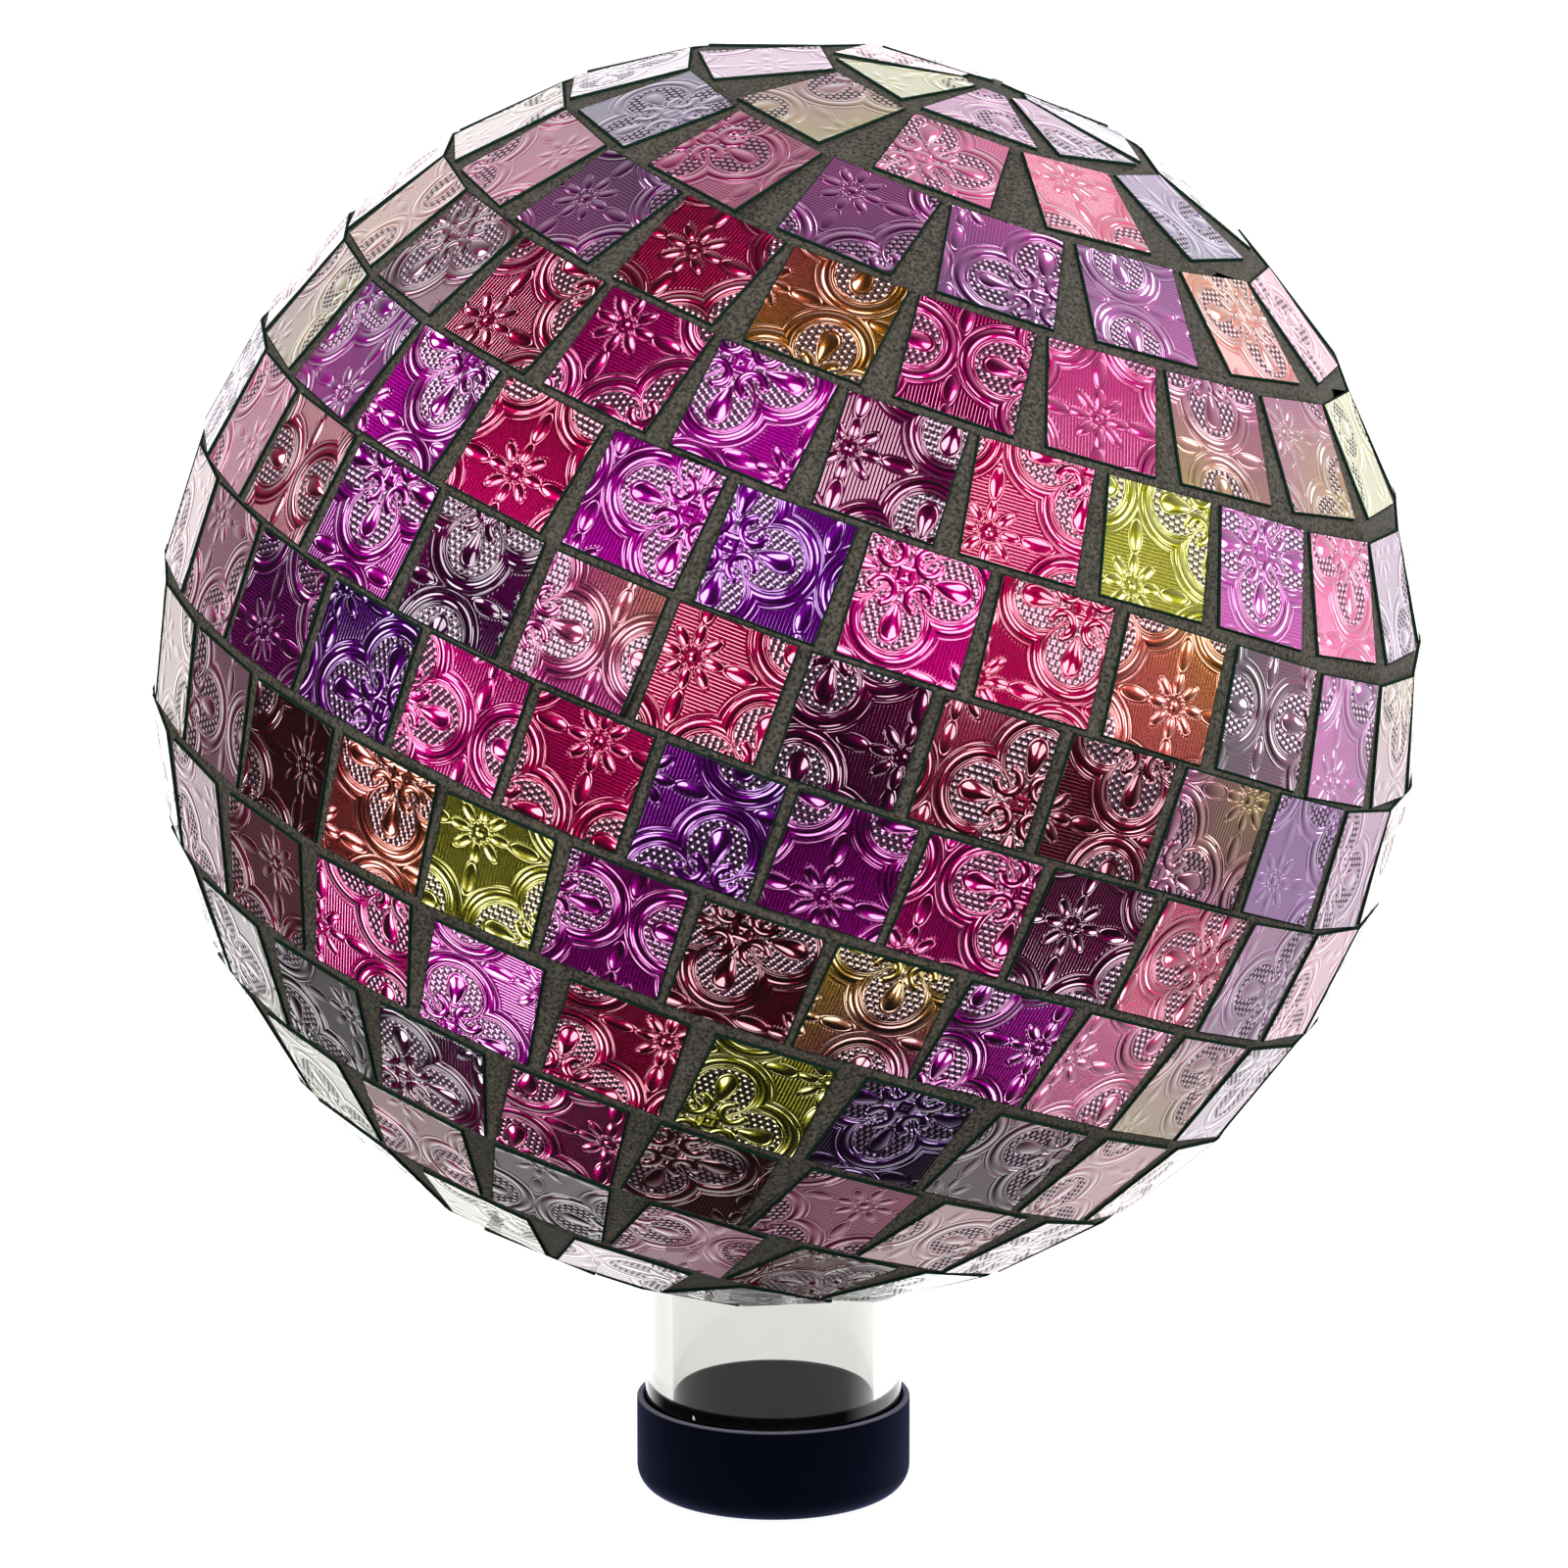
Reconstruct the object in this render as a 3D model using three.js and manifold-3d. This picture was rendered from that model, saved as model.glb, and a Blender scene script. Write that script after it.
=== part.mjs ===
// Mosaic gazing globe: a blown glass ball on a short open neck, skinned with square
// pressed-glass tiles set in grout, standing on the rubber cap that closes the neck.
// Millimetres, +Z up. The origin is under the middle of the globe, on the cap's underside.
import * as THREE from "three";
import { mergeVertices } from "three/addons/utils/BufferGeometryUtils.js";
import Module from "manifold-3d";

const wasm = await Module();
wasm.setup();

// The globe, measured over the faces of its tiles
const GLOBE_DIAMETER = 254;
const GLOBE_CENTRE_Z = 171.5;

// The blown glass inside, and its neck, which was drawn slightly off the ball's axis
const GLASS_RADIUS = 122.6;
const GLASS_WALL = 2.2;
const NECK_X = -2.8;
const NECK_RADIUS = 26.3;
const NECK_WALL = 5.6;
const NECK_END_Z = 2.8;
const NECK_FILLET = 3;
const FIT_GAP = 0.35;

// The cap: a rubber cup with a thin wall and a rounded foot
const CAP_RADIUS = 28.05;
const CAP_HEIGHT = 19.8;
const CAP_WALL = 1.4;
const CAP_FLOOR = 2.5;
const CAP_FOOT_ROUND = 5.2;
const CAP_RIM_ROUND = 0.5;

// The mosaic: inch-square tiles in courses about an axis that leans to the right
const TILE_SIZE = 24.6;
const TILE_PROUD = 0.6;
const JOINT = 1.3;
const NARROWEST_TILE = 4;
const LAST_PARALLEL_DEG = 89;
const MOSAIC_LEAN_DEG = 19;
const MOSAIC_NOD_DEG = 1.15;

// Round the neck the tiles are nipped back to a ring of grout, or left out
const NECK_RING_RADIUS = 29.4;
const NIPPING_STEP = 0.05;
const SMALLEST_NIPPED_SHARE = 0.45;
const BARE_BED_SHARE = 0.3;

// One course of tiles for each line: its latitude about the mosaic's axis, the number of
// tiles that its joints leave room for, and the longitude of the tile that was set first
const COURSES = [
  { latitude: 81.6, tiles: 7, first: -56 },
  { latitude: 68.9, tiles: 10, first: -9.5 },
  { latitude: 56.9, tiles: 15, first: -18 },
  { latitude: 45.1, tiles: 20, first: 3.8 },
  { latitude: 33.4, tiles: 24, first: -1.3 },
  { latitude: 21.8, tiles: 27, first: -8.7 },
  { latitude: 10.3, tiles: 29, first: -9.7 },
  { latitude: -1.2, tiles: 30, first: -6.5 },
  { latitude: -13.1, tiles: 29, first: 1 },
  { latitude: -25.2, tiles: 25, first: 6.5 },
  { latitude: -37.1, tiles: 22, first: 5.2 },
  { latitude: -48.9, tiles: 18, first: -11 },
  { latitude: -61.2, tiles: 13, first: -23.5 },
  { latitude: -73.5, tiles: 9, first: -14 },
  { latitude: -86, tiles: 5, first: 0 },
];

// On one side the courses sag, down to these latitudes, and tiles sit a little askew
const SAG_DEG = 5.5;
const SAG_LONGITUDE = 75;
const SAG_WIDTH_DEG = 35;
const SAG_FADES_NORTH = { from: 22, to: 72 };
const SAG_FADES_SOUTH = { from: 54, to: 92 };
const SLIP_DEG = 0.1;
const SKEW_DEG = 0.8;

const ROUND_STEPS = 28;
const NECK_STEPS = 40;

const FINISHES = {
  glass: new THREE.MeshStandardMaterial({
    color: "#e6e7e2", roughness: 0.05, metalness: 0, transparent: true, opacity: 0.35,
  }),
  mosaic: new THREE.MeshStandardMaterial({ color: "#8c2f7a", roughness: 0.3, metalness: 0.4 }),
  rubber: new THREE.MeshStandardMaterial({ color: "#0f1119", roughness: 0.6, metalness: 0 }),
};

const { clamp, degToRad, euclideanModulo, inverseLerp, radToDeg } = THREE.MathUtils;

// A repeatable number from -1 to 1 for the given tile and use
function unevenness(tile, use) {
  const wave = Math.sin(tile * 12.9898 + use * 78.233) * 43758.5453;
  return 2 * (wave - Math.floor(wave)) - 1;
}

// How far a course has sagged at a longitude, less towards the mosaic's poles
function sag(latitude, longitude) {
  const away = euclideanModulo(longitude - SAG_LONGITUDE + 180, 360) - 180;
  const { from, to } = latitude > 0 ? SAG_FADES_NORTH : SAG_FADES_SOUTH;
  const share = 1 - clamp(inverseLerp(from, to, Math.abs(latitude)), 0, 1);
  return SAG_DEG * share * Math.exp(-((away / SAG_WIDTH_DEG) ** 2));
}

// The mosaic's own axes: its pole, and the equator's directions at longitudes 0 and 90
function mosaicAxes() {
  const lean = degToRad(MOSAIC_LEAN_DEG);
  const nod = degToRad(MOSAIC_NOD_DEG);
  const pole = new THREE.Vector3(
    Math.sin(lean),
    -Math.cos(lean) * Math.sin(nod),
    Math.cos(lean) * Math.cos(nod),
  );
  const front = new THREE.Vector3(0, -1, 0).projectOnPlane(pole).normalize();
  const side = new THREE.Vector3().crossVectors(pole, front);
  return { pole, front, side };
}

// A tile's outward normal and edge directions, turned by its skew
function tileFrame(axes, latitude, longitude, skew) {
  const lat = degToRad(latitude);
  const lon = degToRad(longitude);
  const normal = new THREE.Vector3()
    .addScaledVector(axes.front, Math.cos(lat) * Math.cos(lon))
    .addScaledVector(axes.side, Math.cos(lat) * Math.sin(lon))
    .addScaledVector(axes.pole, Math.sin(lat));
  const along = new THREE.Vector3().crossVectors(axes.pole, normal).normalize();
  along.applyAxisAngle(normal, degToRad(skew));
  const across = new THREE.Vector3().crossVectors(normal, along);
  return { normal, along, across };
}

// How short a parallel is, against the equator, at the edge of its tiles nearest the pole
function shortening(latitude) {
  const halfTile = radToDeg(Math.atan(TILE_SIZE / GLOBE_DIAMETER));
  return Math.cos(degToRad(Math.min(LAST_PARALLEL_DEG, Math.abs(latitude) + halfTile)));
}

// The longitudes of a course's tiles, further apart in degrees where the course has sagged
// towards the pole, and the room along the equator that each of them takes
function spreadTiles({ latitude, tiles, first }) {
  const reach = [0];
  for (let step = 0; step < 360; step += 1) {
    reach.push(reach[step] + shortening(latitude - sag(latitude, first + step)));
  }
  const room = reach[360] / tiles;
  const longitudes = [];
  let step = 0;
  for (let k = 0; k < tiles; k += 1) {
    while (reach[step + 1] < k * room) step += 1;
    longitudes.push(first + step + inverseLerp(reach[step], reach[step + 1], k * room));
  }
  return { longitudes, room };
}

// A tile's corners, counter-clockwise from the south-west, along and across it. Where the
// course closes in towards the pole, its tiles are cut narrower at that end.
function cutCorners(poleSide, latitude, room) {
  const half = TILE_SIZE / 2;
  const radius = GLOBE_DIAMETER / 2;
  const fromPole = degToRad(90 - Math.abs(latitude)) * radius;
  const turn = degToRad(room / shortening(latitude));
  const poleEnd = clamp(fromPole - (NARROWEST_TILE + JOINT) / turn, -half, half);
  return [[-1, -1], [1, -1], [1, 1], [-1, 1]].map(([a, b]) => {
    const v = b * (b === poleSide ? poleEnd : half);
    const parallel = radius * Math.sin(Math.max(0, fromPole - poleSide * v) / radius);
    return new THREE.Vector2(a * Math.min(half, (turn * parallel - JOINT) / 2), v);
  });
}

// A point of a tile's plane, at the plane's distance from the globe's centre
function onTile({ normal, along, across }, corner, distance) {
  return normal.clone().multiplyScalar(distance)
    .addScaledVector(along, corner.x).addScaledVector(across, corner.y);
}

// The share of a corner's reach that keeps it out of the ring round the neck
function nippedShare(tile, corner) {
  for (let share = 1; share > 0; share -= NIPPING_STEP) {
    const at = onTile(tile, corner.clone().multiplyScalar(share), GLOBE_DIAMETER / 2);
    if (at.z > 0 || Math.hypot(at.x - NECK_X, at.y) >= NECK_RING_RADIUS) return share;
  }
  return 0;
}

// The courses from the mosaic's pole down, each a ring of tiles in order of longitude.
// Where the neck leaves no room for a tile, its bed of grout stays bare.
function layCourses() {
  const axes = mosaicAxes();
  let count = 0;
  return COURSES.map((course) => {
    const { latitude } = course;
    const { longitudes, room } = spreadTiles(course);
    return longitudes.map((spot) => {
      count += 1;
      const longitude = spot + SLIP_DEG * unevenness(count, 1) / Math.cos(degToRad(latitude));
      const lat = latitude - sag(latitude, longitude) + SLIP_DEG * unevenness(count, 2);
      const drop = (sag(latitude, longitude + 1) - sag(latitude, longitude - 1)) / 2;
      const slope = -radToDeg(Math.atan2(drop, Math.cos(degToRad(latitude))));
      const tile = tileFrame(axes, lat, longitude, slope + SKEW_DEG * unevenness(count, 3));
      const corners = cutCorners(Math.sign(latitude), lat, room);
      const shares = corners.map((corner) => nippedShare(tile, corner));
      const set = Math.min(...shares) >= SMALLEST_NIPPED_SHARE;
      corners.forEach((corner, k) => corner.multiplyScalar(set ? shares[k] : BARE_BED_SHARE));
      return { ...tile, corners, longitude, set };
    });
  });
}

// A shell of triangles that grows by points, with the outside on the left-hand turn
class Shell {
  constructor() {
    this.points = [];
    this.triangles = [];
  }

  point(position) {
    this.points.push(position.x, position.y, position.z);
    return this.points.length / 3 - 1;
  }

  triangle(a, b, c) {
    this.triangles.push(a, b, c);
  }

  quad(a, b, c, d) {
    this.triangle(a, b, c);
    this.triangle(a, c, d);
  }

  geometry() {
    const geometry = new THREE.BufferGeometry();
    geometry.setAttribute("position", new THREE.Float32BufferAttribute(this.points, 3));
    geometry.setIndex(this.triangles);
    return geometry;
  }
}

// Adds a tile's corners at a distance from the globe's centre
function addCorners(shell, tile, distance) {
  return tile.corners.map((corner) => shell.point(onTile(tile, corner, distance)));
}

// The corners of a course's edge in order of longitude, all within one turn from a start
function edgeFrom(start, edge) {
  return edge
    .map(({ index, longitude }) => ({ index, turn: euclideanModulo(longitude - start, 360) }))
    .sort((a, b) => a.turn - b.turn);
}

// Closes the joint between a course's southern edge and the next one's northern edge with
// triangles, each time from whichever side has its next corner first
function zip(shell, northEdge, southEdge) {
  const start = northEdge[0].longitude;
  const north = edgeFrom(start, northEdge);
  const south = edgeFrom(start, southEdge);
  let i = 0;
  let j = 0;
  while (i < north.length || j < south.length) {
    const nextNorth = north[(i + 1) % north.length];
    const nextSouth = south[(j + 1) % south.length];
    const northTurn = i + 1 < north.length ? nextNorth.turn : 360;
    const southTurn = j + 1 < south.length ? nextSouth.turn : 360;
    const here = [north[i % north.length].index, south[j % south.length].index];
    if (j >= south.length || (i < north.length && northTurn <= southTurn)) {
      shell.triangle(here[1], nextNorth.index, here[0]);
      i += 1;
    } else {
      shell.triangle(here[1], nextSouth.index, here[0]);
      j += 1;
    }
  }
}

// Lays a course's beds and tiles, and returns its corners with their longitudes
function layCourse(shell, axes, course) {
  const radius = GLOBE_DIAMETER / 2;
  const beds = course.map((tile) => addCorners(shell, tile, radius - TILE_PROUD));
  return course.map((tile, k) => {
    const bed = beds[k];
    const next = beds[(k + 1) % beds.length];
    shell.quad(bed[1], next[0], next[3], bed[2]);
    if (tile.set) {
      const face = addCorners(shell, tile, radius);
      shell.quad(...face);
      bed.forEach((corner, side) => {
        const turn = (side + 1) % 4;
        shell.quad(corner, bed[turn], face[turn], face[side]);
      });
    } else {
      shell.quad(...bed);
    }
    return tile.corners.map((corner, side) => {
      const at = onTile(tile, corner, radius);
      const longitude = radToDeg(Math.atan2(at.dot(axes.side), at.dot(axes.front)));
      return { index: bed[side], longitude };
    });
  });
}

// The globe's outside: tiles that stand proud of the grout's net between them
function mosaicSurface() {
  const shell = new Shell();
  const axes = mosaicAxes();
  const rings = layCourses().map((course) => layCourse(shell, axes, course));
  const norths = rings.map((ring) => ring.flatMap((corners) => [corners[3], corners[2]]));
  const souths = rings.map((ring) => ring.flatMap((corners) => [corners[0], corners[1]]));
  norths.slice(1).forEach((north, k) => zip(shell, souths[k], north));
  const height = GLOBE_DIAMETER / 2 - TILE_PROUD;
  const top = shell.point(axes.pole.clone().multiplyScalar(height));
  const bottom = shell.point(axes.pole.clone().multiplyScalar(-height));
  const first = norths[0];
  first.forEach((corner, k) => shell.triangle(corner.index, first[(k + 1) % first.length].index, top));
  const last = souths[souths.length - 1];
  last.forEach((corner, k) => shell.triangle(last[(k + 1) % last.length].index, corner.index, bottom));
  return shell.geometry().translate(0, 0, GLOBE_CENTRE_Z);
}

// A closed geometry as a solid that can be joined and cut
function solid(geometry) {
  const bare = geometry.clone();
  bare.deleteAttribute("normal");
  bare.deleteAttribute("uv");
  const merged = mergeVertices(bare, 1e-4);
  return new wasm.Manifold(new wasm.Mesh({
    numProp: 3,
    vertProperties: new Float32Array(merged.attributes.position.array),
    triVerts: new Uint32Array(merged.index.array),
  }));
}

function geometryOf(body) {
  const { vertProperties, triVerts } = body.getMesh();
  const geometry = new THREE.BufferGeometry();
  geometry.setAttribute("position", new THREE.BufferAttribute(vertProperties, 3));
  geometry.setIndex(new THREE.BufferAttribute(triVerts, 1));
  geometry.computeVertexNormals();
  return geometry;
}

// A profile of radius and height points turned about the vertical line through x
function turned(profile, steps, x) {
  const geometry = new THREE.LatheGeometry(profile, steps);
  geometry.rotateX(Math.PI / 2);
  geometry.translate(x, 0, 0);
  return geometry;
}

function ball(radius) {
  const arc = new THREE.Path().absarc(0, 0, radius, -Math.PI / 2, Math.PI / 2);
  const profile = arc.getSpacedPoints(ROUND_STEPS / 2);
  profile[0].x = 0;
  profile[profile.length - 1].x = 0;
  return turned(profile, ROUND_STEPS, 0).translate(0, 0, GLOBE_CENTRE_Z);
}

// The neck's round bar, flaring into the ball with a fillet, up to well inside the ball
function neckBar(radius, fillet, endZ) {
  const centre = new THREE.Vector2(NECK_RADIUS + NECK_FILLET, 0);
  centre.y = GLOBE_CENTRE_Z - Math.sqrt((GLASS_RADIUS + NECK_FILLET) ** 2 - centre.x ** 2);
  const towardsBall = Math.atan2(GLOBE_CENTRE_Z - centre.y, -centre.x);
  const profile = new THREE.Path();
  profile.moveTo(0, endZ);
  profile.lineTo(radius, endZ);
  profile.absarc(centre.x, centre.y, fillet, Math.PI, towardsBall, true);
  const flare = profile.getPoints(3);
  const top = centre.y + 3 * NECK_FILLET;
  flare.push(new THREE.Vector2(flare[flare.length - 1].x, top));
  flare.push(new THREE.Vector2(0, top));
  return turned(flare, NECK_STEPS, NECK_X);
}

function makeGlassGlobe() {
  const outside = solid(ball(GLASS_RADIUS)).add(solid(neckBar(NECK_RADIUS, NECK_FILLET, NECK_END_Z)));
  const boreRadius = NECK_RADIUS - NECK_WALL;
  const bore = new THREE.CylinderGeometry(boreRadius, boreRadius, GLASS_RADIUS, NECK_STEPS);
  bore.rotateX(Math.PI / 2);
  bore.translate(NECK_X, 0, GLASS_RADIUS / 2 - NECK_END_Z);
  const hollow = solid(ball(GLASS_RADIUS - GLASS_WALL)).add(solid(bore));
  return geometryOf(outside.subtract(hollow));
}

function makeMosaicSkin() {
  const outside = solid(mosaicSurface());
  const hollow = solid(ball(GLASS_RADIUS + FIT_GAP));
  const neck = solid(neckBar(NECK_RADIUS + FIT_GAP, NECK_FILLET - FIT_GAP, NECK_END_Z));
  return geometryOf(outside.subtract(hollow).subtract(neck));
}

function makeNeckCap() {
  const inner = CAP_RADIUS - CAP_WALL;
  const profile = new THREE.Path();
  profile.moveTo(0, 0);
  profile.lineTo(CAP_RADIUS - CAP_FOOT_ROUND, 0);
  profile.absarc(CAP_RADIUS - CAP_FOOT_ROUND, CAP_FOOT_ROUND, CAP_FOOT_ROUND, -Math.PI / 2, 0);
  profile.absarc(CAP_RADIUS - CAP_RIM_ROUND, CAP_HEIGHT - CAP_RIM_ROUND, CAP_RIM_ROUND, 0, Math.PI / 2);
  profile.lineTo(inner, CAP_HEIGHT);
  profile.lineTo(inner, CAP_FLOOR);
  profile.lineTo(0, CAP_FLOOR);
  return turned(profile.getPoints(4), NECK_STEPS, NECK_X);
}

function piece(name, geometry, material) {
  const mesh = new THREE.Mesh(geometry, material);
  mesh.name = name;
  return mesh;
}

const gazingGlobe = new THREE.Group();
gazingGlobe.add(
  piece("glass_globe", makeGlassGlobe(), FINISHES.glass),
  piece("mosaic_skin", makeMosaicSkin(), FINISHES.mosaic),
  piece("neck_cap", makeNeckCap(), FINISHES.rubber),
);

export default gazingGlobe;
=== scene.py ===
"""Mosaic gazing globe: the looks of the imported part, built around its frame.

A blown glass ball with an open neck carries a skin of square pressed-glass tiles, foiled behind in
iridescent colours and set in dark grout. A rubber cap closes the neck and is what the globe stands on.
"""

from __future__ import annotations

import logging
import math
from dataclasses import dataclass, field
from enum import Enum

import bmesh
import bpy
import numpy as np
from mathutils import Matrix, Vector

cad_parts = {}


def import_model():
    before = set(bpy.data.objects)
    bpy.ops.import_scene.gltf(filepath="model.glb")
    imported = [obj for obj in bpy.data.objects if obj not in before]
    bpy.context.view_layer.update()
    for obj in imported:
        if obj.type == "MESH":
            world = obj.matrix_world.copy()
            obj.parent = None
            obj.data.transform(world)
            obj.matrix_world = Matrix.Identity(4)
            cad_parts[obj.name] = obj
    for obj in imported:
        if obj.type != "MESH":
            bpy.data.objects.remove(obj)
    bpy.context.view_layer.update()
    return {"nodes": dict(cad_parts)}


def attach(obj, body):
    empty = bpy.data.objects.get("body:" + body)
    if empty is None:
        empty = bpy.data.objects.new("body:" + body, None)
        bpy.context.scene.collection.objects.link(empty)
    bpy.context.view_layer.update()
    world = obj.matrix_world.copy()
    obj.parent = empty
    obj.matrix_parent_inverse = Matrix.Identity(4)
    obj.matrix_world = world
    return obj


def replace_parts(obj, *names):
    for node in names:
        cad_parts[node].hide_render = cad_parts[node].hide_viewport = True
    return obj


LOG = logging.getLogger("gazing_globe")
MM = 0.001
GLOBE_CENTRE = Vector((0.0, 0.0, 171.5 * MM))
TILE_PLANE = 127.0 * MM
NECK_X = -2.8 * MM


class Slot(Enum):
    """The record's material slots."""

    GLASS = "clear_glass"
    TILES = "foiled_tiles"
    RUBBER = "black_rubber"
    GROUT = "grout"


class Glow(Enum):
    """How bright a soft box is, as radiance."""

    KEY = 11.5
    FILL = 9.5
    EDGE = 12.5


def linear(hex_colour: str) -> tuple[float, float, float, float]:
    """Turns an sRGB hex colour to the linear values that shaders take.

    Args:
        hex_colour: Six hex digits, red first.

    Returns:
        Linear red, green, blue and an alpha of 1.
    """
    channels = [int(hex_colour[k : k + 2], 16) / 255 for k in (0, 2, 4)]
    red, green, blue = (c / 12.92 if c <= 0.04045 else ((c + 0.055) / 1.055) ** 2.4 for c in channels)
    return red, green, blue, 1.0


def add_node(
    tree: bpy.types.NodeTree, kind: str, inputs: dict | None = None, **settings: object
) -> bpy.types.Node:
    """Adds a shader node with its settings, values and links.

    Args:
        tree: The node tree that the node joins.
        kind: The node's type.
        inputs: Input names or numbers, each with a value or with the socket that feeds it.
        settings: The node's own properties.

    Returns:
        The new node.
    """
    node = tree.nodes.new(kind)
    for name, value in settings.items():
        setattr(node, name, value)
    for name, value in (inputs or {}).items():
        if isinstance(value, bpy.types.NodeSocket):
            tree.links.new(value, node.inputs[name])
        else:
            node.inputs[name].default_value = value
    return node


def new_material(name: str) -> bpy.types.Material:
    """Makes a material whose node tree is empty.

    Args:
        name: The material's name.

    Returns:
        The material.
    """
    material = bpy.data.materials.new(name)
    material.use_nodes = True
    material.node_tree.nodes.clear()
    return material


def begin(piece: bpy.types.Object | None = None) -> None:
    """Leaves edit mode and deselects all, so that the next operator acts on its own piece only.

    Args:
        piece: The piece to select and make active, if there is one yet.
    """
    if bpy.context.object and bpy.context.object.mode != "OBJECT":
        bpy.ops.object.mode_set(mode="OBJECT")
    bpy.ops.object.select_all(action="DESELECT")
    if piece:
        piece.select_set(True)
        bpy.context.view_layer.objects.active = piece


def settle(
    piece: bpy.types.Object, name: str, material: bpy.types.Material
) -> bpy.types.Object:
    """Names a finished piece, puts its place into its mesh and fixes it to the part.

    Args:
        piece: The finished piece.
        name: Its name.
        material: Its material.

    Returns:
        The same piece.
    """
    begin(piece)
    bpy.ops.object.transform_apply(location=True, rotation=True, scale=True)
    piece.name = name
    piece.data.name = name
    piece.data.materials.clear()
    piece.data.materials.append(material)
    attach(piece, "root")
    LOG.info("%s: %d faces", name, len(piece.data.polygons))
    return piece


@dataclass(frozen=True)
class Foil:
    """One sheet of pressed glass with mirror foil behind it.

    The foil runs between two colours, near and far. The share is the part of all the tiles that is
    cut from this sheet.
    """

    name: str
    near: str
    far: str
    share: float


FOILS = (
    Foil("deep_violet", "2e0048", "50005a", 0.08),
    Foil("purple", "4a004a", "6c005a", 0.18),
    Foil("magenta", "740044", "880050", 0.18),
    Foil("plum", "20001c", "46002a", 0.11),
    Foil("crimson", "6c002a", "7c003a", 0.11),
    Foil("wine", "4a041a", "5c1028", 0.06),
    Foil("rose", "78284a", "7c3056", 0.06),
    Foil("copper", "762a2a", "70480e", 0.06),
    Foil("gold_mauve", "6a560a", "600e42", 0.08),
    Foil("gold", "66640a", "706c22", 0.08),
)


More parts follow.
